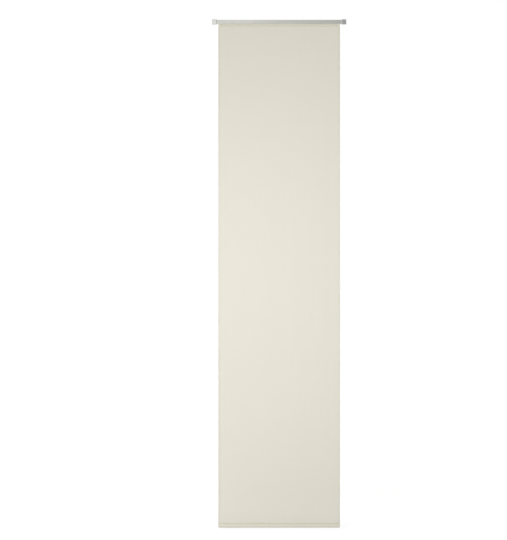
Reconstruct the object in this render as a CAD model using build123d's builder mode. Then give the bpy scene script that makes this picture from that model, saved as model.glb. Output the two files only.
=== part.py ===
from build123d import *
from math import acos, atan2, degrees, hypot
import os

# Sliding curtain panel. Millimetres, +Z up, +X along the rail, the front faces -Y.
# The origin is the middle of the rail's top face, where the rail is screwed up.

# One overrun for every cut that has to leave the material
overrun = 1.0

# Rail: a square extrusion with a slot along its underside, which reaches past the cloth at both ends
rail_overhang = 4.5
rail_size = 20.0
rail_wall = 1.5
rail_roof = 2.4
rail_lip = 1.6
rail_slot = 7.0
rail_corner_radius = 0.8
rail_channel_radius = 0.5
rail_slot_radius = 0.4

# Screw holes in the rail's roof, reached through notches in its lips
mount_spacing = 400.0
mount_hole_radius = 2.2
mount_sink_radius = 3.7
mount_sink_angle = 90
driver_notch_radius = 4.5

# End caps: a square block that tapers to the rail, a recessed ring and a plug in the rail's channel
cap_size = 25.5
cap_length = 20.0
cap_edge_chamfer = 1.5
cap_end_chamfer = 1.4
taper_length = 5.0
taper_step = 0.2
ring_size = 19.0
ring_length = 1.5
plug_length = 14.0
plug_clearance = 0.15
plug_chamfer = 0.8

# Grub screws that clamp the caps' plugs against the rail's roof
screw_radius = 2.0
screw_length = 10.0
screw_tip_chamfer = 0.5
screw_socket_width = 2.0
screw_socket_depth = 2.5
screw_clearance = 0.05

# Runners: a moulded body on two wheels, with a stem and a foot
runner_count = 3
runner_end_inset = 13.0
runner_length = 14.0
runner_thickness = 6.8
runner_top_radius = 5.0
runner_lip_clearance = 0.5
runner_boss_radius = 2.4
runner_boss_height = 0.4
stem_length = 8.0
stem_thickness = 5.0
stem_corner_radius = 0.5
foot_length = 11.0
foot_clearance = 0.3

# Axles and wheels
axle_radius = 1.0
axle_clearance = 0.05
axle_end_clearance = 0.4
wheel_radius = 5.5
wheel_wall_clearance = 0.9
wheel_boss_clearance = 0.2
wheel_rail_clearance = 0.25
wheel_rim_thickness = 1.2
wheel_recess_depth = 0.7

# Carrier: a grooved head for the runners' feet, with a flange down its front for the tape
carrier_gap = 1.5
carrier_end_inset = 9.0
carrier_height = 12.0
head_width = 11.2
head_lip = 1.2
head_floor = 1.4
head_slot = 5.6
head_corner_radius = 0.5
groove_width = 8.6
groove_height = 2.4
flange_thickness = 1.4
flange_bead_width = 1.0
flange_bead_height = 1.8
flange_root_radius = 0.8

# Carrier plugs: a tongue in the groove and a cover over the head's end
carrier_tongue_length = 6.0
carrier_tongue_clearance = 0.15
carrier_cover_thickness = 1.2
carrier_cover_chamfer = 0.4

# Tapes between the carrier's front and the cloth
tape_height = 10.0
hook_tape_thickness = 1.8
loop_tape_thickness = 1.7

# Cloth: a flat panel with turned side hems and a bottom hem round the weight rod
panel_width = 600.0
panel_drop = 2486.0
cloth_rail_gap = 0.4
cloth_thickness = 0.5
hem_turns = 2
side_hem_width = 7.0
bottom_hem_depth = 24.0
seam_band_depth = 10.0

# Weight rod: a tube with a cap in each end, lying in the bottom hem
rod_radius = 3.0
rod_wall = 0.9
rod_hem_clearance = 0.3
rod_end_gap = 3.5
rod_cap_head = 1.6
rod_cap_spigot = 8.0
rod_cap_clearance = 0.1
rod_cap_edge_chamfer = 0.7

# Levels and places that follow from the sizes above
channel_width = rail_size - 2 * rail_wall
channel_top = -rail_roof
lip_top = -(rail_size - rail_lip)
channel_height = channel_top - lip_top
rail_middle = -rail_size / 2
rail_end = panel_width / 2 + rail_overhang
plug_inner_end = rail_end - plug_length
axle_level = lip_top + wheel_rail_clearance + wheel_radius
wheel_inner_face = runner_thickness / 2 + runner_boss_height + wheel_boss_clearance
wheel_width = channel_width / 2 - wheel_wall_clearance - wheel_inner_face
carrier_length = panel_width - 2 * carrier_end_inset
carrier_end = carrier_length / 2
carrier_top = -(rail_size + carrier_gap)
head_height = head_lip + groove_height + head_floor
head_middle = carrier_top - head_height / 2
groove_top = carrier_top - head_lip
carrier_front = -head_width / 2
hook_tape_front = carrier_front - hook_tape_thickness
cloth_back = hook_tape_front - loop_tape_thickness
cloth_front = cloth_back - cloth_thickness
hem_back = cloth_back + hem_turns * cloth_thickness
cloth_top = -(rail_size + cloth_rail_gap)
cloth_bottom = cloth_top - panel_drop
seam_top = cloth_bottom + bottom_hem_depth
seam_bottom = seam_top - seam_band_depth
seam_middle = (cloth_front + hem_back) / 2
loop_radius = rod_radius + rod_hem_clearance + cloth_thickness
rod_level = cloth_bottom + loop_radius
rod_end = panel_width / 2 - side_hem_width - rod_end_gap - rod_cap_head

os.makedirs("parts", exist_ok=True)


def write(piece, name):
    piece.label = name
    export_step(piece, f"parts/{name}.step")


# Rail
with BuildPart() as rail:
    with BuildSketch(Plane.YZ) as rail_section:
        with Locations((0, rail_middle)):
            RectangleRounded(rail_size, rail_size, rail_corner_radius)
        with Locations((0, channel_top - channel_height / 2)):
            RectangleRounded(channel_width, channel_height, rail_channel_radius, mode=Mode.SUBTRACT)
        with Locations((0, lip_top - rail_lip / 2)):
            Rectangle(rail_slot, rail_lip + 2 * overrun, mode=Mode.SUBTRACT)
        slot_corners = rail_section.vertices().filter_by_position(
            Axis.X, -rail_slot / 2, rail_slot / 2
        )
        fillet(slot_corners, rail_slot_radius)
    extrude(amount=rail_end, both=True)
    with Locations(Plane((0, 0, channel_top), z_dir=(0, 0, -1))):
        with GridLocations(mount_spacing, 0, 2, 1):
            CounterSinkHole(
                mount_hole_radius,
                mount_sink_radius,
                depth=rail_roof + overrun,
                counter_sink_angle=mount_sink_angle,
            )
    with Locations(Plane((0, 0, -rail_size), z_dir=(0, 0, -1))):
        with GridLocations(mount_spacing, 0, 2, 1):
            Hole(driver_notch_radius, depth=rail_lip)
write(rail.part, "rail")


# End caps, drawn for the right end and mirrored to the left
ring_end = rail_end + ring_length
taper_end = ring_end + taper_length
plug_middle = rail_end - plug_length / 2

with BuildPart() as right_end_cap:
    with BuildSketch(Plane.YZ.offset(ring_end)) as taper_section:
        with Locations((0, rail_middle)):
            Rectangle(rail_size + 2 * taper_step, rail_size + 2 * taper_step)
        chamfer(taper_section.vertices(), rail_corner_radius)
    with BuildSketch(Plane.YZ.offset(taper_end)) as block_section:
        with Locations((0, rail_middle)):
            Rectangle(cap_size, cap_size)
        chamfer(block_section.vertices(), cap_edge_chamfer)
    loft(ruled=True)
    extrude(block_section.sketch, amount=cap_length)
    chamfer(right_end_cap.faces().sort_by(Axis.X)[-1].edges(), cap_end_chamfer)
    with BuildSketch(Plane.YZ.offset(rail_end)):
        with Locations((0, rail_middle)):
            Rectangle(ring_size, ring_size)
    extrude(amount=ring_length)
    with BuildSketch(Plane.YZ.offset(plug_inner_end)) as plug_section:
        with Locations((0, channel_top - channel_height / 2)):
            Rectangle(channel_width - 2 * plug_clearance, channel_height - 2 * plug_clearance)
        chamfer(plug_section.vertices(), plug_chamfer)
    extrude(amount=plug_length)
    chamfer(right_end_cap.faces().sort_by(Axis.X)[0].edges(), plug_chamfer / 2)
    with Locations(Plane((plug_middle, 0, channel_top - plug_clearance))):
        Hole(screw_radius + screw_clearance, depth=channel_height)
write(right_end_cap.part, "right_end_cap")

with BuildPart() as left_end_cap:
    mirror(right_end_cap.part, about=Plane.YZ)
write(left_end_cap.part, "left_end_cap")


def grub_screw(side):
    """A grub screw, its tip on the rail's roof and its socket facing the slot below."""
    with BuildPart() as screw:
        with BuildSketch(Plane((side * plug_middle, 0, channel_top - screw_length))):
            Circle(screw_radius)
        extrude(amount=screw_length)
        chamfer(screw.faces().sort_by(Axis.Z)[-1].edges(), screw_tip_chamfer)
        with BuildSketch(Plane((side * plug_middle, 0, channel_top - screw_length))):
            RegularPolygon(screw_socket_width / 2, 6, major_radius=False)
        extrude(amount=screw_socket_depth, mode=Mode.SUBTRACT)
    return screw.part


write(grub_screw(-1), "left_cap_screw")
write(grub_screw(1), "right_cap_screw")


# Runners with their axles and wheels, spread evenly over the carrier
def upright(place, level, side=-1):
    """An upright plane along the rail that faces the front, or the back with side 1."""
    return Plane((place, 0, level), x_dir=(1, 0, 0), z_dir=(0, side, 0))


def runner_body(place):
    """A moulded runner: an arched body in the channel, a stem through the slot and a foot in the carrier."""
    body_bottom = lip_top + runner_lip_clearance
    body_height = axle_level + runner_top_radius - body_bottom
    with BuildPart() as body:
        with BuildSketch(upright(place, body_bottom + body_height / 2)) as outline:
            Rectangle(runner_length, body_height)
            fillet(outline.vertices().group_by(Axis.Y)[-1], runner_top_radius)
        extrude(amount=runner_thickness / 2, both=True)
        with BuildSketch(Plane((place, 0, groove_top))):
            RectangleRounded(stem_length, stem_thickness, stem_corner_radius)
        extrude(amount=body_bottom - groove_top)
        with BuildSketch(Plane((place, 0, groove_top))):
            Rectangle(foot_length, groove_width - 2 * foot_clearance)
        extrude(amount=-(groove_height - foot_clearance))
        with BuildSketch(upright(place, axle_level)):
            Circle(runner_boss_radius)
        extrude(amount=runner_thickness / 2 + runner_boss_height, both=True)
        with BuildSketch(upright(place, axle_level)):
            Circle(axle_radius + axle_clearance)
        extrude(amount=runner_thickness, both=True, mode=Mode.SUBTRACT)
    return body.part


def runner_axle(place):
    """A plain steel pin from wall to wall of the channel."""
    with BuildPart() as axle:
        with BuildSketch(upright(place, axle_level)):
            Circle(axle_radius)
        extrude(amount=channel_width / 2 - axle_end_clearance, both=True)
    return axle.part


def runner_wheel(place, side):
    """A wheel pressed on the axle, dished inside its rim on the outer side."""
    inner_face = upright(place, axle_level, side).offset(wheel_inner_face)
    with BuildPart() as wheel:
        with BuildSketch(inner_face):
            Circle(wheel_radius)
            Circle(axle_radius, mode=Mode.SUBTRACT)
        extrude(amount=wheel_width)
        with BuildSketch(inner_face.offset(wheel_width)):
            Circle(wheel_radius - wheel_rim_thickness)
        extrude(amount=-wheel_recess_depth, mode=Mode.SUBTRACT)
    return wheel.part


runner_reach = carrier_length - 2 * runner_end_inset
for index in range(runner_count):
    runner_place = -runner_reach / 2 + index * runner_reach / (runner_count - 1)
    name = f"runner_{index + 1}"
    write(runner_body(runner_place), name)
    write(runner_axle(runner_place), f"{name}_axle")
    write(runner_wheel(runner_place, -1), f"{name}_front_wheel")
    write(runner_wheel(runner_place, 1), f"{name}_back_wheel")


# Carrier
with BuildPart() as carrier:
    with BuildSketch(Plane.YZ) as carrier_section:
        with Locations((0, head_middle)):
            RectangleRounded(head_width, head_height, head_corner_radius)
        flange_height = carrier_height - head_height / 2
        with Locations((carrier_front + flange_thickness / 2, head_middle - flange_height / 2)):
            Rectangle(flange_thickness, flange_height)
        flange_root = carrier_section.vertices().sort_by_distance(
            (carrier_front + flange_thickness, carrier_top - head_height)
        )[0]
        fillet(flange_root, flange_root_radius)
        bead_middle = carrier_top - carrier_height + flange_bead_height / 2
        with Locations((carrier_front + flange_thickness + flange_bead_width / 2, bead_middle)):
            Rectangle(flange_bead_width, flange_bead_height)
        with Locations((0, groove_top - groove_height / 2)):
            Rectangle(groove_width, groove_height, mode=Mode.SUBTRACT)
        with Locations((0, groove_top)):
            Rectangle(head_slot, 2 * head_lip + overrun, mode=Mode.SUBTRACT)
    extrude(amount=carrier_length / 2, both=True)
write(carrier.part, "carrier")

with BuildPart() as right_carrier_plug:
    with BuildSketch(Plane.YZ.offset(carrier_end - carrier_tongue_length)):
        with Locations((0, groove_top - groove_height / 2)):
            Rectangle(
                groove_width - 2 * carrier_tongue_clearance,
                groove_height - 2 * carrier_tongue_clearance,
            )
    extrude(amount=carrier_tongue_length)
    with BuildSketch(Plane.YZ.offset(carrier_end)):
        with Locations((0, head_middle)):
            RectangleRounded(head_width, head_height, head_corner_radius)
    extrude(amount=carrier_cover_thickness)
    chamfer(right_carrier_plug.faces().sort_by(Axis.X)[-1].edges(), carrier_cover_chamfer)
write(right_carrier_plug.part, "right_carrier_plug")

with BuildPart() as left_carrier_plug:
    mirror(right_carrier_plug.part, about=Plane.YZ)
write(left_carrier_plug.part, "left_carrier_plug")


# Hook tape on the carrier's front and loop tape on the cloth's back
def tape(back, thickness):
    """A strip over the middle of the carrier's front, from its back face towards the cloth."""
    with BuildPart() as strip:
        with BuildSketch(upright(0, carrier_top - carrier_height / 2).offset(-back)):
            Rectangle(carrier_length, tape_height)
        extrude(amount=thickness)
    return strip.part


write(tape(carrier_front, hook_tape_thickness), "hook_tape")
write(tape(hook_tape_front, loop_tape_thickness), "loop_tape")


# Cloth: one section along its width, then the turned hems down both sides
seam_thickness = hem_back - cloth_front
seam_rise = seam_bottom - rod_level

with BuildPart() as curtain_cloth:
    with BuildSketch(Plane.YZ):
        # The hem's drop-shaped loop, an arc under the rod and a straight side up to each edge of the seam:
        # first its outer form, then the space inside it
        for inset, mode in ((0, Mode.ADD), (cloth_thickness, Mode.SUBTRACT)):
            radius = loop_radius - inset
            half_width = seam_thickness / 2 - inset
            contact = degrees(atan2(seam_rise, half_width) - acos(radius / hypot(seam_rise, half_width)))
            with BuildLine():
                under = CenterArc((seam_middle, rod_level), radius, contact, -(180 + 2 * contact))
                front = (seam_middle - half_width, seam_bottom)
                back = (seam_middle + half_width, seam_bottom)
                Polyline(under @ 1, front, back, under @ 0)
            make_face(mode=mode)
        with Locations((seam_middle, (seam_top + seam_bottom) / 2)):
            Rectangle(seam_thickness, seam_band_depth)
        with Locations(((cloth_front + cloth_back) / 2, (cloth_top + seam_top) / 2)):
            Rectangle(cloth_thickness, cloth_top - seam_top)
    extrude(amount=panel_width / 2, both=True)
    with BuildSketch(Plane.XY.offset(seam_top)):
        hem_spacing = panel_width - side_hem_width
        with Locations((0, (cloth_back + hem_back) / 2)):
            with GridLocations(hem_spacing, 0, 2, 1):
                Rectangle(side_hem_width, hem_back - cloth_back)
    extrude(amount=cloth_top - seam_top)
write(curtain_cloth.part, "curtain_cloth")


# Weight rod and its caps
with BuildPart() as weight_rod:
    with BuildSketch(Plane.YZ):
        with Locations((seam_middle, rod_level)):
            Circle(rod_radius)
            Circle(rod_radius - rod_wall, mode=Mode.SUBTRACT)
    extrude(amount=rod_end, both=True)
write(weight_rod.part, "weight_rod")

with BuildPart() as right_rod_cap:
    with BuildSketch(Plane.YZ.offset(rod_end - rod_cap_spigot)):
        with Locations((seam_middle, rod_level)):
            Circle(rod_radius - rod_wall - rod_cap_clearance)
    extrude(amount=rod_cap_spigot)
    with BuildSketch(Plane.YZ.offset(rod_end)):
        with Locations((seam_middle, rod_level)):
            Circle(rod_radius)
    extrude(amount=rod_cap_head)
    chamfer(right_rod_cap.faces().sort_by(Axis.X)[-1].edges(), rod_cap_edge_chamfer)
write(right_rod_cap.part, "right_rod_cap")

with BuildPart() as left_rod_cap:
    mirror(right_rod_cap.part, about=Plane.YZ)
write(left_rod_cap.part, "left_rod_cap")
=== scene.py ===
from math import acos, atan2, cos, dist, hypot, pi, sin

import bpy
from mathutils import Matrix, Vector, noise


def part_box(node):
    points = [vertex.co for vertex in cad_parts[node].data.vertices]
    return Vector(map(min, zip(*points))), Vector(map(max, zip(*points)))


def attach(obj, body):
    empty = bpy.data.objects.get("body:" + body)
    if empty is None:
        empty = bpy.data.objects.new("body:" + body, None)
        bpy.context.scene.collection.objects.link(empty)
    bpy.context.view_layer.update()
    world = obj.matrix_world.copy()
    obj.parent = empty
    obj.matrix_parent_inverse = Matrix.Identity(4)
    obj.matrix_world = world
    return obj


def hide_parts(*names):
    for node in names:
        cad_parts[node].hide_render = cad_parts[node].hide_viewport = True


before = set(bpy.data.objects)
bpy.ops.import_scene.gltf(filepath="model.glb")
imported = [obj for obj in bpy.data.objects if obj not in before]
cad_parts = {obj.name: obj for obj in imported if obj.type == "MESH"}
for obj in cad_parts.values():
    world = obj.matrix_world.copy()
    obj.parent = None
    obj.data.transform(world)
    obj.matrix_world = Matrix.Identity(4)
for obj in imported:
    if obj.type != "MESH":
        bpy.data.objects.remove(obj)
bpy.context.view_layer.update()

# Sliding curtain panel, dressed. Metres, +Z up, +X along the rail, the cloth's front faces -Y.

# Places taken from the frame
cloth_low, cloth_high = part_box("curtain_cloth")
rod_low, rod_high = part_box("weight_rod")
hook_low, hook_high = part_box("hook_tape")
loop_low, loop_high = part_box("loop_tape")
rail_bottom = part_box("rail")[0][2]
carrier_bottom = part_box("carrier")[0][2]
side_edge = cloth_high[0]
cloth_bottom = cloth_low[2]
rod_y = (rod_low[1] + rod_high[1]) / 2
rod_z = (rod_low[2] + rod_high[2]) / 2

# Sheet: its gaps to the rail and the tape, its thickness, and how far apart the layers of a turned hem lie
rail_gap = 0.0002
tape_gap = 0.00005
sheet_thickness = 0.0004
layer_pitch = 0.00048

# Hems: their sizes and layers, and how far the flap and the raw edge stay clear of the turns
side_hem_width = 0.007
side_hem_layers = 3
bottom_hem_depth = 0.024
seam_band_depth = 0.010
seam_layers = 3
flap_end_gap = 0.0006
flap_side_gap = 0.0012
side_raw_edge_gap = 0.0008
# Over this width the bottom hem swells to take in the side hem
swell_width = 0.009

# Places on the sheet
cloth_top = rail_bottom - rail_gap
layer_y = loop_low[1] - tape_gap - sheet_thickness / 2
front_face = layer_y - sheet_thickness / 2
seam_back_face = layer_y + (seam_layers - 1) * layer_pitch + sheet_thickness / 2
seam_top = cloth_bottom + bottom_hem_depth
seam_bottom = seam_top - seam_band_depth
loop_radius = rod_z - cloth_bottom - sheet_thickness / 2
turn_radius = layer_pitch / 2
hem_inner_edge = side_edge - side_hem_width
swell_edge = hem_inner_edge - swell_width

# Rows and columns of the sheet's mesh
front_rows = 170
band_rows = 5
loop_side_rows = 5
loop_arc_rows = 24
turn_steps = 5
middle_column = 0.010
hem_column = 0.0024
swell_columns = 6

# Soft waves of the hanging cloth: height, width from crest to crest, first phase and drift on the way down
waves = (
    (0.00065, 0.262, 0.7, 0.9),
    (0.00040, 0.137, 2.1, -1.6),
    (0.00022, 0.071, 4.0, 2.4),
)
# The power that shapes how the waves rise and fade on the way down
wave_power = 0.8

# Sewing thread
thread_radius = 0.00016
stitch_pitch = 0.0034
stitch_length = 0.0027
stitch_sides = 5
# The rings of a stitch: share of its length, share of its girth and rise in thread radii
stitch_rings = ((0.0, 0.35, -0.6), (0.2, 1.0, 0.45), (0.8, 1.0, 0.45), (1.0, 0.35, -0.6))
side_seam_inset = 0.0058
bottom_seam_drop = 0.0016
tape_seam_inset = 0.0011

# Hook and loop tapes: the selvedge's height and the pile's roughness are shares of the tape's thickness
selvedge_width = 0.0013
selvedge_share = 0.45
tape_step = 0.002
pile_rows = 6
pile_grains = 900.0
pile_roughness = 0.12

# Colours
rail_colour = (0.535, 0.533, 0.50)
cap_colour = (0.52, 0.52, 0.505)
steel_colour = (0.56, 0.56, 0.57)
rod_colour = (0.70, 0.70, 0.68)
white_plastic = (0.80, 0.80, 0.78)
wheel_plastic = (0.84, 0.84, 0.82)
tape_colour = (0.86, 0.85, 0.81)
thread_colour = (0.81, 0.79, 0.70)
cloth_colour = (0.839, 0.813, 0.696)

# The range that most of a noise lies in
noise_range = (0.3, 0.7)

# Metal: the coarse grain, as a share of how many grains the fine one has
coarse_share = 0.22

# Cloth: yarns a metre, how open it is between them and how far that varies, and the light through the yarns
yarns = 420.0
see_through = 0.13
openness_swing = 0.008
light_through = 0.04

# Painted light: how much paler the cloth is painted in its side hems, in its bottom hem and at its top,
# before the carrier, standing in for the light that its doubled layers reflect back and lifting the shade
# where the tape and carrier block the light from behind
side_hem_painted_light = (1.105, 1.118, 1.165)
bottom_hem_painted_light = (1.096, 1.096, 1.096)
top_painted_light = (1.145, 1.145, 1.145)

# Floor: how far it lies under the cloth, its size, its colour and its glow
floor_drop = 0.012
floor_size = 60.0
floor_colour = (0.44, 0.455, 0.485, 1.0)
floor_glow = 0.755

# Where the floor glows less: the middle, the least glow, and how far off it begins to grow and is whole again
glow_dips = (
    ((0.0, 0.0, 0.0), 0.65, 0.6, 2.5),
    ((0.45, 2.15, 0.0), 0.61, 0.3, 1.3),
)

# Reflectors, as places along them and levels there: the front one dims to the right, the side one is dark
front_levels = ((-0.16, 1.44), (-0.03, 1.08), (0.20, 0.86), (0.30, 0.68), (0.335, 0.51))
side_levels = ((-0.60, 0.40), (0.40, 0.22))

# Light
white = (1.0, 1.0, 1.0, 1.0)
ambient_level = 0.61
ambient_colour = (1.0, 0.945, 0.86, 1.0)
lamp_colour = (0.97, 1.0, 1.04)

# Camera
view_distance = 20.0
camera_place = (-0.1266, front_face - view_distance, -1.235)
camera_lens = 270.12
camera_sensor = 36.0


def clamp(value):
    """The value, kept between 0 and 1."""
    return max(0.0, min(1.0, value))


def smooth(value):
    """A soft step from 0 to 1."""
    value = clamp(value)
    return value * value * (3 - 2 * value)


def spread(start, end, count):
    """Evenly spaced values from start to end, both included."""
    return [start + (end - start) * step / (count - 1) for step in range(count)]


# Shader nodes


def add(tree, kind, inputs=(), **properties):
    """Adds a node of that kind, sets its properties, and sets or links its inputs."""
    made = tree.nodes.new(kind)
    for name, value in properties.items():
        setattr(made, name, value)
    for name, value in dict(inputs).items():
        if isinstance(value, bpy.types.NodeSocket):
            tree.links.new(value, made.inputs[name])
        else:
            made.inputs[name].default_value = value
    return made


def compute(tree, operation, first, second=0.0):
    """The result of a math node."""
    return add(tree, "ShaderNodeMath", {0: first, 1: second}, operation=operation).outputs[0]


def compute_vector(tree, operation, first, second):
    """The result of a vector math node, channel by channel."""
    return add(tree, "ShaderNodeVectorMath", {0: first, 1: second}, operation=operation).outputs[0]


def average(tree, first, second):
    """The mean of two values."""
    return compute(tree, "MULTIPLY", compute(tree, "ADD", first, second), 0.5)


def new_material(name):
    """An empty material and its node tree."""
    material = bpy.data.materials.new(name)
    material.use_nodes = True
    material.node_tree.nodes.clear()
    return material, material.node_tree


def show(tree, shader):
    """Makes that shader the material's surface."""
    add(tree, "ShaderNodeOutputMaterial", {"Surface": shader.outputs[0]})


def grain(tree, grains, stretch=(1, 1, 1), coords="Object", detail=2.0):
    """A noise of that many grains a metre, drawn out along the axes whose stretch is small."""
    place = add(tree, "ShaderNodeTexCoord").outputs[coords]
    scale = [grains * share for share in stretch]
    mapped = add(tree, "ShaderNodeMapping", {"Vector": place, "Scale": scale}).outputs[0]
    return add(tree, "ShaderNodeTexNoise", {"Vector": mapped, "Scale": 1.0, "Detail": detail}).outputs[0]


def tinted(tree, amount, colour, share):
    """The colour, darker by that share where the noise is low and lighter where it is high."""
    ramp = add(tree, "ShaderNodeValToRGB", {"Fac": amount})
    for stop, position, level in zip(ramp.color_ramp.elements, noise_range, (1 - share, 1 + share)):
        stop.position = position
        stop.color = [clamp(channel * level) for channel in colour] + [1.0]
    return ramp.outputs[0]


def varied(tree, amount, middle, swing):
    """A value that is less than the middle by the swing where the noise is low, and more where it is high."""
    return add(tree, "ShaderNodeMapRange", {
        "Value": amount, "From Min": noise_range[0], "From Max": noise_range[1],
        "To Min": middle - swing, "To Max": middle + swing,
    }).outputs[0]


# Materials


def metal(name, colour, roughness, grains, stretch=(1, 1, 1), tint_share=0.05, anisotropy=0.0, depth=0.00001):
    """Metal with a fine and a coarse grain that tint and score it, and with a gloss that varies."""
    material, tree = new_material(name)
    lines = average(tree, grain(tree, grains, stretch), grain(tree, grains * coarse_share, stretch))
    blotches = grain(tree, grains=40.0)
    bump = add(tree, "ShaderNodeBump", {"Height": lines, "Strength": 0.35, "Distance": depth})
    shader = add(tree, "ShaderNodeBsdfPrincipled", {
        "Base Color": tinted(tree, lines, colour, tint_share),
        "Metallic": 1.0,
        "Roughness": varied(tree, blotches, roughness, swing=0.03),
        "Anisotropic": anisotropy,
        "Anisotropic Rotation": 0.25,
        "Normal": bump.outputs[0],
    })
    if anisotropy:
        along_x = add(tree, "ShaderNodeCombineXYZ", {"X": 1.0})
        tree.links.new(along_x.outputs[0], shader.inputs["Tangent"])
    show(tree, shader)
    return material


def plastic(name, colour, roughness, grains=900.0):
    """Moulded plastic: a fine spark-eroded grain, and faint flow marks in its colour and gloss."""
    material, tree = new_material(name)
    fine = grain(tree, grains)
    flow = grain(tree, grains=120.0, stretch=(1, 1, 0.4))
    bump = add(tree, "ShaderNodeBump", {"Height": fine, "Strength": 0.25, "Distance": 0.00003})
    shader = add(tree, "ShaderNodeBsdfPrincipled", {
        "Base Color": tinted(tree, flow, colour, share=0.025),
        "Roughness": varied(tree, flow, roughness, swing=0.04),
        "Specular IOR Level": 0.4,
        "Normal": bump.outputs[0],
    })
    show(tree, shader)
    return material


def fabric(name, colour, grains, depth):
    """Thread or tape: spun fibre in its colour and its relief, with a soft sheen."""
    material, tree = new_material(name)
    fibre = grain(tree, grains)
    bump = add(tree, "ShaderNodeBump", {"Height": fibre, "Strength": 0.6, "Distance": depth})
    shader = add(tree, "ShaderNodeBsdfPrincipled", {
        "Base Color": tinted(tree, fibre, colour, share=0.05),
        "Roughness": 0.85,
        "Specular IOR Level": 0.2,
        "Sheen Weight": 0.2,
        "Sheen Roughness": 0.5,
        "Normal": bump.outputs[0],
    })
    show(tree, shader)
    return material


def weave(tree, place):
    """A plain weave: the height of its threads, which cross each other."""
    inputs = {"Vector": place, "Scale": yarns, "Distortion": 0.6}
    threads = [
        add(tree, "ShaderNodeTexWave", inputs, bands_direction=direction).outputs["Fac"]
        for direction in ("X", "Y")
    ]
    return compute(tree, "MAXIMUM", *threads)


def painted_light_gain(tree, place):
    """The painted light at a place of the flat sheet: the greatest gain of its zones, channel by channel, or
    else 1.
    """
    flat = add(tree, "ShaderNodeSeparateXYZ", {"Vector": place}).outputs
    zones = (
        (compute(tree, "ABSOLUTE", flat[0]), "GREATER_THAN", hem_inner_edge, side_hem_painted_light),
        (flat[1], "GREATER_THAN", cloth_top - seam_top, bottom_hem_painted_light),
        (flat[1], "LESS_THAN", cloth_top - carrier_bottom, top_painted_light),
    )
    gain = (1.0, 1.0, 1.0)
    for distance, side, limit, inside_painted_light in zones:
        inside = compute(tree, side, distance, limit)
        zone = compute_vector(tree, "MULTIPLY", inside_painted_light, inside)
        gain = compute_vector(tree, "MAXIMUM", zone, gain)
    return gain


def sheer_cloth(name, colour):
    """Sheer cloth: a plain weave with uneven yarns, lit from both sides and partly open between its threads.
    Its doubled hems, and its top before the carrier, are paler by a gain of their own: painted light for the
    light that the layers reflect back and the shade that the tape and carrier cast."""
    material, tree = new_material(name)
    place = add(tree, "ShaderNodeTexCoord").outputs["UV"]
    weft = grain(tree, yarns, stretch=(0.02, 1, 1), coords="UV", detail=3.0)
    warp = grain(tree, yarns, stretch=(1, 0.012, 1), coords="UV", detail=3.0)
    slub = average(tree, weft, warp)
    relief = compute(tree, "ADD", weave(tree, place), slub)
    bump = add(tree, "ShaderNodeBump", {"Height": relief, "Strength": 0.3, "Distance": 0.00008})
    even = tinted(tree, slub, colour, share=0.01)
    # Painted light: the colour is made paler in the hems and at the top, before the carrier
    tint = compute_vector(tree, "MULTIPLY", even, painted_light_gain(tree, place))
    shader = add(tree, "ShaderNodeBsdfPrincipled", {
        "Base Color": tint,
        "Roughness": 0.8,
        "Specular IOR Level": 0.15,
        "Sheen Weight": 0.1,
        "Sheen Roughness": 0.4,
        "Normal": bump.outputs[0],
    })
    through = add(tree, "ShaderNodeBsdfTranslucent", {"Color": tint})
    clear = add(tree, "ShaderNodeBsdfTransparent").outputs[0]
    cloth = add(tree, "ShaderNodeMixShader", {0: light_through, 1: shader.outputs[0], 2: through.outputs[0]})
    # Thin yarns leave the cloth more open
    openness = varied(tree, slub, see_through, -openness_swing)
    woven = add(tree, "ShaderNodeMixShader", {0: openness, 1: cloth.outputs[0], 2: clear})
    # A ray meets the sheet's two faces, and only the first counts: a face's inner side lets all light pass
    inner = add(tree, "ShaderNodeNewGeometry").outputs["Backfacing"]
    show(tree, add(tree, "ShaderNodeMixShader", {0: inner, 1: woven.outputs[0], 2: clear}))
    return material


materials = {
    "rail": metal(
        "satin_aluminium", rail_colour, roughness=0.30, grains=2600.0, stretch=(0.004, 1, 1), tint_share=0.06,
        anisotropy=0.8, depth=0.000003,
    ),
    "cap": metal("cap_metal", cap_colour, roughness=0.22, grains=1500.0, tint_share=0.025, depth=0.000003),
    "steel": metal("steel", steel_colour, roughness=0.28, grains=2200.0, stretch=(1, 0.05, 1)),
    "runner": plastic("runner_plastic", white_plastic, roughness=0.45),
    "wheel": plastic("wheel_plastic", wheel_plastic, roughness=0.35, grains=1400.0),
    "rod": metal("rod_metal", rod_colour, roughness=0.35, grains=1800.0, stretch=(0.01, 1, 1)),
    "rod_cap": plastic("rod_cap_plastic", white_plastic, roughness=0.5),
    "hook": fabric("hook_tape_weave", tape_colour, grains=1600.0, depth=0.0002),
    "loop": fabric("loop_tape_weave", tape_colour, grains=2200.0, depth=0.0001),
    "thread": fabric("sewing_thread", thread_colour, grains=6000.0, depth=0.00003),
    "cloth": sheer_cloth("sheer_weave", cloth_colour),
}

# What each carried-over CAD node is made of
node_materials = {
    "rail": "rail",
    "carrier": "rail",
    "left_end_cap": "cap",
    "right_end_cap": "cap",
    "left_cap_screw": "steel",
    "right_cap_screw": "steel",
    "left_carrier_plug": "runner",
    "right_carrier_plug": "runner",
    "weight_rod": "rod",
    "left_rod_cap": "rod_cap",
    "right_rod_cap": "rod_cap",
}
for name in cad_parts:
    if name.endswith("_wheel"):
        node_materials[name] = "wheel"
    elif name.endswith("_axle"):
        node_materials[name] = "steel"
    elif name.startswith("runner_"):
        node_materials[name] = "runner"
for name, kind in node_materials.items():
    for material_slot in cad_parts[name].material_slots:
        material_slot.material = materials[kind]


# Pieces


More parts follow.
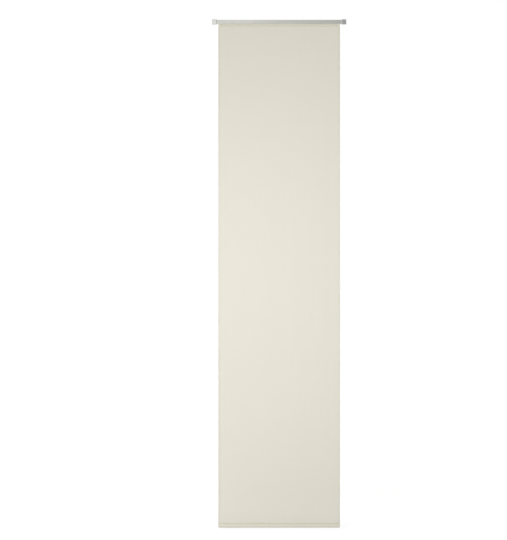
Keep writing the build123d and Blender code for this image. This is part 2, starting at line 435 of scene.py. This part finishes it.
def new_piece(name, vertices, faces, material, stands_for=(), flat=None):
    """A mesh piece that rides on the panel. What flat holds is each vertex's place on the flat sheet,
    counted sideways from the sheet's middle and down from its top."""
    mesh = bpy.data.meshes.new(name)
    mesh.from_pydata(vertices, [], faces)
    if flat:
        layer = mesh.uv_layers.new(name="flat")
        for corner in mesh.loops:
            layer.data[corner.index].uv = flat[corner.vertex_index]
    mesh.polygons.foreach_set("use_smooth", [True] * len(mesh.polygons))
    mesh.materials.append(material)
    piece = bpy.data.objects.new(name, mesh)
    bpy.context.scene.collection.objects.link(piece)
    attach(piece, "panel")
    if stands_for:
        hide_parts(*stands_for)
    return piece


# Cloth


def ripple(x, z):
    """How far the hanging cloth stands off its plane: nothing at the tape above and at the hem below."""
    down = clamp((loop_low[2] - z) / (loop_low[2] - seam_top))
    swell = sin(pi * down) ** wave_power
    return swell * sum(
        height * sin(2 * pi * x / width + phase + drift * down) for height, width, phase, drift in waves
    )


def between(start, end, count):
    """Evenly spaced points in Y and Z from start to end, both included."""
    return list(zip(spread(start[0], end[0], count), spread(start[1], end[1], count)))


def arc(middle, radius, angles):
    """Points round a middle at those angles."""
    return [(middle[0] + radius * cos(angle), middle[1] + radius * sin(angle)) for angle in angles]


def sheet_line(x):
    """The sheet's line down from the top, round the rod and up to its raw edge, as points in Y and Z.
    Returns the points and the row at which the inner flap begins."""
    taken_in = side_hem_layers * smooth((abs(x) - swell_edge) / swell_width)
    back_y = layer_y + (seam_layers - 1 + taken_in) * layer_pitch
    flap_y = (layer_y + back_y) / 2
    turn = (back_y - flap_y) / 2

    def tangent(y, side):
        """The angle at which a straight run from the seam meets the loop."""
        rise = seam_bottom - rod_z
        return atan2(rise, y - rod_y) + side * acos(loop_radius / hypot(rise, y - rod_y))

    loop_angles = spread(tangent(layer_y, 1), 2 * pi + tangent(back_y, -1), loop_arc_rows)
    loop = arc((rod_y, rod_z), loop_radius, loop_angles)
    points = between((layer_y, cloth_top), (layer_y, seam_top), front_rows)
    points += between((layer_y, seam_top), (layer_y, seam_bottom), band_rows)[1:]
    points += between((layer_y, seam_bottom), loop[0], loop_side_rows)[1:-1]
    points += loop
    points += between(loop[-1], (back_y, seam_bottom), loop_side_rows)[1:]
    points += between((back_y, seam_bottom), (back_y, seam_top - turn), band_rows)[1:]
    flap_row = len(points) - 1
    points += arc((back_y - turn, seam_top - turn), turn, spread(0, pi, turn_steps)[1:])
    points += between((flap_y, seam_top - turn), (flap_y, seam_bottom + flap_end_gap), band_rows)[1:]
    return points, flap_row


def inward(points):
    """The direction at each point towards the side that a hem is turned to."""
    ends = [points[0]] + points + [points[-1]]
    normals = []
    for before, after in zip(ends, ends[2:]):
        along = Vector((after[0] - before[0], after[1] - before[1])).normalized()
        normals.append((-along[1], along[0]))
    return normals


def right_half():
    """Columns from the middle to the right raw edge: each has its X and its depth in the turned hem."""
    outer = side_edge - turn_radius
    inner = hem_inner_edge + turn_radius
    steps = round((outer - inner) / hem_column) + 1
    straight = spread(0, swell_edge, round(swell_edge / middle_column) + 1)
    swell = spread(swell_edge, hem_inner_edge, swell_columns)[1:]
    outer_turn = spread(-pi / 2, pi / 2, turn_steps)[1:-1]
    inner_turn = spread(-pi / 2, -3 * pi / 2, turn_steps)[1:-1]
    last_depth = (side_hem_layers - 1) * layer_pitch
    columns = [(x, 0.0) for x in straight + swell + spread(inner, outer, steps)]
    columns += arc((outer, turn_radius), turn_radius, outer_turn)
    columns += [(x, layer_pitch) for x in spread(outer, inner, steps)]
    columns += arc((inner, layer_pitch + turn_radius), turn_radius, inner_turn)
    columns += [(x, last_depth) for x in spread(inner, outer - side_raw_edge_gap, steps)]
    return columns


def sheet_vertices(columns, across):
    """The sheet's vertices, column by column, and their places on the flat sheet, which begins at across."""
    vertices, flat = [], []
    for number, (x, depth) in enumerate(columns):
        if number:
            across += dist(columns[number - 1], columns[number])
        points = sheet_line(x)[0]
        along = 0.0
        for row, ((y, z), (to_y, to_z)) in enumerate(zip(points, inward(points))):
            if row:
                along += dist(points[row - 1], points[row])
            vertices.append((x, y + depth * to_y + ripple(x, z), z + depth * to_z))
            flat.append((across, along))
    return vertices, flat


def sheet_faces(columns):
    """The sheet's faces between its columns and rows. The flap ends short of the side hems."""
    points, flap_row = sheet_line(0.0)
    rows = len(points)
    faces = []
    for number, (here, following) in enumerate(zip(columns, columns[1:])):
        reach_x = max(abs(here[0]), abs(following[0]))
        for row in range(flap_row if reach_x > hem_inner_edge - flap_side_gap else rows - 1):
            corner = number * rows + row
            faces.append((corner, corner + 1, corner + rows + 1, corner + rows))
    return faces


def curtain_sheet():
    """The whole cloth as one sheet, with turned side hems, a bottom hem round the rod and a flap in its seam.
    Returns the piece and the size that it is cut to."""
    half = right_half()
    columns = [(-x, depth) for x, depth in reversed(half[1:])] + half
    flat_half = sum(dist(here, following) for here, following in zip(half, half[1:]))
    vertices, flat = sheet_vertices(columns, -flat_half)
    faces = sheet_faces(columns)
    used = sorted({vertex for face in faces for vertex in face})
    place = {old: new for new, old in enumerate(used)}
    piece = new_piece(
        "curtain_sheet",
        [vertices[vertex] for vertex in used],
        [[place[vertex] for vertex in face] for face in faces],
        materials["cloth"],
        ["curtain_cloth"],
        [flat[vertex] for vertex in used],
    )
    thicken = piece.modifiers.new("thickness", "SOLIDIFY")
    thicken.thickness = sheet_thickness
    thicken.offset = 0.0
    # The wide faces set the shading, so that cut edges and small turns don't darken what lies beside them
    piece.modifiers.new("normals", "WEIGHTED_NORMAL")
    cut = (2 * flat_half, max(along for across, along in flat))
    return piece, cut


sheet, sheet_cut = curtain_sheet()


# Stitches


def stitches(name, rows):
    """Rows of stitches as beads of thread. A row has its length and a function that gives,
    for a distance along it, the place on the cloth, the way along the row and the way out of the cloth."""
    vertices, faces = [], []
    for length, place in rows:
        count = int(length / stitch_pitch)
        for number in range(count):
            start = (number + 0.5) * length / count - stitch_length / 2
            rings = []
            for share, girth, rise in stitch_rings:
                at, along, out = place(start + share * stitch_length)
                wide = along.cross(out)
                rings.append(list(range(len(vertices), len(vertices) + stitch_sides)))
                for corner in range(stitch_sides):
                    turn = 2 * pi * corner / stitch_sides
                    offset = wide * cos(turn) * girth + out * (sin(turn) * girth + rise)
                    vertices.append(at + offset * thread_radius)
            for near, far in zip(rings, rings[1:]):
                for corner in range(stitch_sides):
                    follow = (corner + 1) % stitch_sides
                    faces.append((near[corner], near[follow], far[follow], far[corner]))
            faces.append(rings[0][::-1])
            faces.append(rings[-1])
    return new_piece(name, vertices, faces, materials["thread"])


def down_row(x, side):
    """A row of stitches down a side hem at X. Side -1 is the cloth's front, and 1 is the hem's back."""
    depth = (side_hem_layers - 1) * layer_pitch if side > 0 else 0.0

    def place(along):
        z = cloth_top - along
        y = layer_y + depth + side * sheet_thickness / 2 + ripple(x, z)
        return Vector((x, y, z)), Vector((0, 0, -1)), Vector((0, side, 0))

    return cloth_top - seam_top, place


def cross_row(z, half_width, y, side):
    """A row of stitches across the cloth at Z, on a face at Y that looks to that side."""

    def place(along):
        x = along - half_width
        return Vector((x, y + ripple(x, z), z)), Vector((1, 0, 0)), Vector((0, side, 0))

    return 2 * half_width, place


side_stitches = stitches("side_hem_stitches", [
    down_row(hand * (side_edge - side_seam_inset), side) for hand in (-1, 1) for side in (-1, 1)
])
bottom_stitches = stitches("bottom_hem_stitches", [
    cross_row(seam_top - bottom_seam_drop, side_edge - side_hem_width / 2, front_face, -1),
    cross_row(seam_top - bottom_seam_drop, swell_edge, seam_back_face, 1),
])
tape_stitches = stitches("tape_stitches", [
    cross_row(z, loop_high[0] - tape_seam_inset, front_face, -1)
    for z in (loop_high[2] - tape_seam_inset, loop_low[2] + tape_seam_inset)
])


# Tapes


def tape(name, low, high, base_y, pile_y, material, node, seed):
    """A woven tape between two corners: flat selvedges along its edges and a rough pile between them."""
    step_count = round((high[0] - low[0]) / tape_step) + 1
    pile_low, pile_high = low[2] + selvedge_width, high[2] - selvedge_width
    selvedge_y = base_y + (pile_y - base_y) * selvedge_share
    ring = [(low[2], base_y), (low[2], selvedge_y), (pile_low, selvedge_y)]
    ring += [(z, pile_y) for z in spread(pile_low, pile_high, pile_rows)]
    ring += [(pile_high, selvedge_y), (high[2], selvedge_y), (high[2], base_y)]
    vertices, faces = [], []
    for x in spread(low[0], high[0], step_count):
        for z, y in ring:
            rough = 0.0
            if y == pile_y:
                rough = pile_roughness * noise.noise(Vector((x, z, seed)) * pile_grains)
            vertices.append((x, y + (base_y - pile_y) * abs(rough), z))
    size = len(ring)
    for number in range(step_count - 1):
        for corner in range(size):
            near, follow = number * size + corner, number * size + (corner + 1) % size
            faces.append((near, follow, follow + size, near + size))
    faces.append(list(range(size))[::-1])
    faces.append(list(range((step_count - 1) * size, step_count * size)))
    if pile_y > base_y:
        faces = [face[::-1] for face in faces]
    return new_piece(name, vertices, faces, material, [node])


hook_strip = tape(
    "hook_strip", hook_low, hook_high, hook_high[1], hook_low[1], materials["hook"], "hook_tape", seed=1.0
)
loop_strip = tape(
    "loop_strip", loop_low, loop_high, loop_low[1], loop_high[1], materials["loop"], "loop_tape", seed=2.0
)


# Floor and reflectors


def plane(name, corners, material):
    """A flat stage piece."""
    mesh = bpy.data.meshes.new(name)
    mesh.from_pydata(corners, [], [(0, 1, 2, 3)])
    mesh.materials.append(material)
    made = bpy.data.objects.new(name, mesh)
    bpy.context.scene.collection.objects.link(made)
    return made


def seen_white(tree):
    """1 for rays that see a white background: from the camera, off metal or through the cloth's threads."""
    path = add(tree, "ShaderNodeLightPath").outputs
    indirect = compute(tree, "MAXIMUM", path["Is Glossy Ray"], path["Is Transmission Ray"])
    return compute(tree, "MAXIMUM", path["Is Camera Ray"], indirect)


def floor_material():
    """A pale floor that reads white where it is lit and keeps the shadow of what hangs over it."""
    material, tree = new_material("pale_floor")
    shader = add(tree, "ShaderNodeBsdfPrincipled", {
        "Base Color": floor_colour, "Roughness": 0.9, "Specular IOR Level": 0.0,
    })
    place = add(tree, "ShaderNodeTexCoord").outputs["Object"]
    on_floor = compute_vector(tree, "MULTIPLY", place, (1.0, 1.0, 0.0))
    level = floor_glow
    for middle, least, near, far in glow_dips:
        away = add(tree, "ShaderNodeVectorMath", {0: on_floor, 1: middle}, operation="DISTANCE")
        dip = add(tree, "ShaderNodeMapRange", {
            "Value": away.outputs["Value"], "From Min": near, "From Max": far,
            "To Min": least, "To Max": floor_glow,
        })
        level = compute(tree, "MINIMUM", dip.outputs[0], level)
    fill = compute(tree, "MULTIPLY", seen_white(tree), level)
    glow = add(tree, "ShaderNodeEmission", {"Color": white, "Strength": fill})
    show(tree, add(tree, "ShaderNodeAddShader", {0: shader.outputs[0], 1: glow.outputs[0]}))
    return material


def card_material(name, axis, start, end, levels):
    """A glow with its level at places along an axis, fading from one to the next."""
    material, tree = new_material(name)
    place = add(tree, "ShaderNodeTexCoord").outputs["Object"]
    along = add(tree, "ShaderNodeSeparateXYZ", {"Vector": place}).outputs[axis]
    share = add(tree, "ShaderNodeMapRange", {
        "Value": along, "From Min": start, "From Max": end, "To Min": 0.0, "To Max": 1.0,
    })
    ramp = add(tree, "ShaderNodeValToRGB", {"Fac": share.outputs[0]})
    stops = ramp.color_ramp.elements
    while len(stops) < len(levels):
        stops.new(1.0)
    for stop, (at, level) in zip(stops, levels):
        stop.position = (at - start) / (end - start)
        stop.color = [level] * 3 + [1.0]
    show(tree, add(tree, "ShaderNodeEmission", {"Color": ramp.outputs[0], "Strength": 1.0}))
    return material


def card(name, low, high, levels):
    """An upright reflector between two corners, along X or along Y, that only metal shows."""
    axis = 0 if high[0] > low[0] else 1
    corners = [low, (high[0], high[1], low[2]), high, (low[0], low[1], high[2])]
    made = plane(name, corners, card_material(name, axis, low[axis], high[axis], levels))
    made.visible_camera = False
    made.visible_diffuse = False
    made.visible_transmission = False
    made.visible_shadow = False


floor_z = cloth_bottom - floor_drop
reach = floor_size / 2
plane(
    "floor",
    [(-reach, -reach, floor_z), (reach, -reach, floor_z), (reach, reach, floor_z), (-reach, reach, floor_z)],
    floor_material(),
)
card("front_reflector", low=(-0.75, -1.0, -0.12), high=(0.75, -1.0, 0.24), levels=front_levels)
card("side_reflector", low=(0.95, -0.80, -0.20), high=(0.95, 0.60, 0.20), levels=side_levels)


# Light and camera


def lamp(name, power, size, place, target):
    """A square soft lamp that metal doesn't mirror."""
    light = bpy.data.lights.new(name, "AREA")
    light.shape = "SQUARE"
    light.size = size
    light.energy = power
    light.color = lamp_colour
    made = bpy.data.objects.new(name, light)
    made.location = place
    made.rotation_euler = (Vector(target) - Vector(place)).to_track_quat("-Z", "Y").to_euler()
    made.visible_camera = False
    made.visible_glossy = False
    bpy.context.scene.collection.objects.link(made)


lamp("key", power=23.2, size=1.0, place=(-0.42, -2.10, -1.19), target=(-0.10, 0.0, -1.27))
lamp("fill", power=28.0, size=1.2, place=(0.60, 2.90, -0.75), target=(0.0, 0.0, -1.25))
lamp("low_left", power=0.26, size=0.4, place=(-0.69, -0.40, -2.38), target=(-0.25, 0.0, -2.35))

world = bpy.data.worlds.new("studio")
bpy.context.scene.world = world
world.use_nodes = True
sky = world.node_tree
sky.nodes.clear()
ambient = add(sky, "ShaderNodeBackground", {"Color": ambient_colour, "Strength": ambient_level})
backdrop = add(sky, "ShaderNodeBackground", {"Color": white, "Strength": 1.0})
seen = add(sky, "ShaderNodeMixShader", {0: seen_white(sky), 1: ambient.outputs[0], 2: backdrop.outputs[0]})
add(sky, "ShaderNodeOutputWorld", {"Surface": seen.outputs[0]})

camera = bpy.data.cameras.new("camera")
camera.sensor_width = camera_sensor
camera.lens = camera_lens
camera.clip_end = 2 * floor_size
camera_object = bpy.data.objects.new("camera", camera)
camera_object.location = camera_place
camera_object.rotation_euler = (pi / 2, 0.0, 0.0)
bpy.context.scene.collection.objects.link(camera_object)
bpy.context.scene.camera = camera_object

bpy.context.scene.view_settings.view_transform = "Standard"
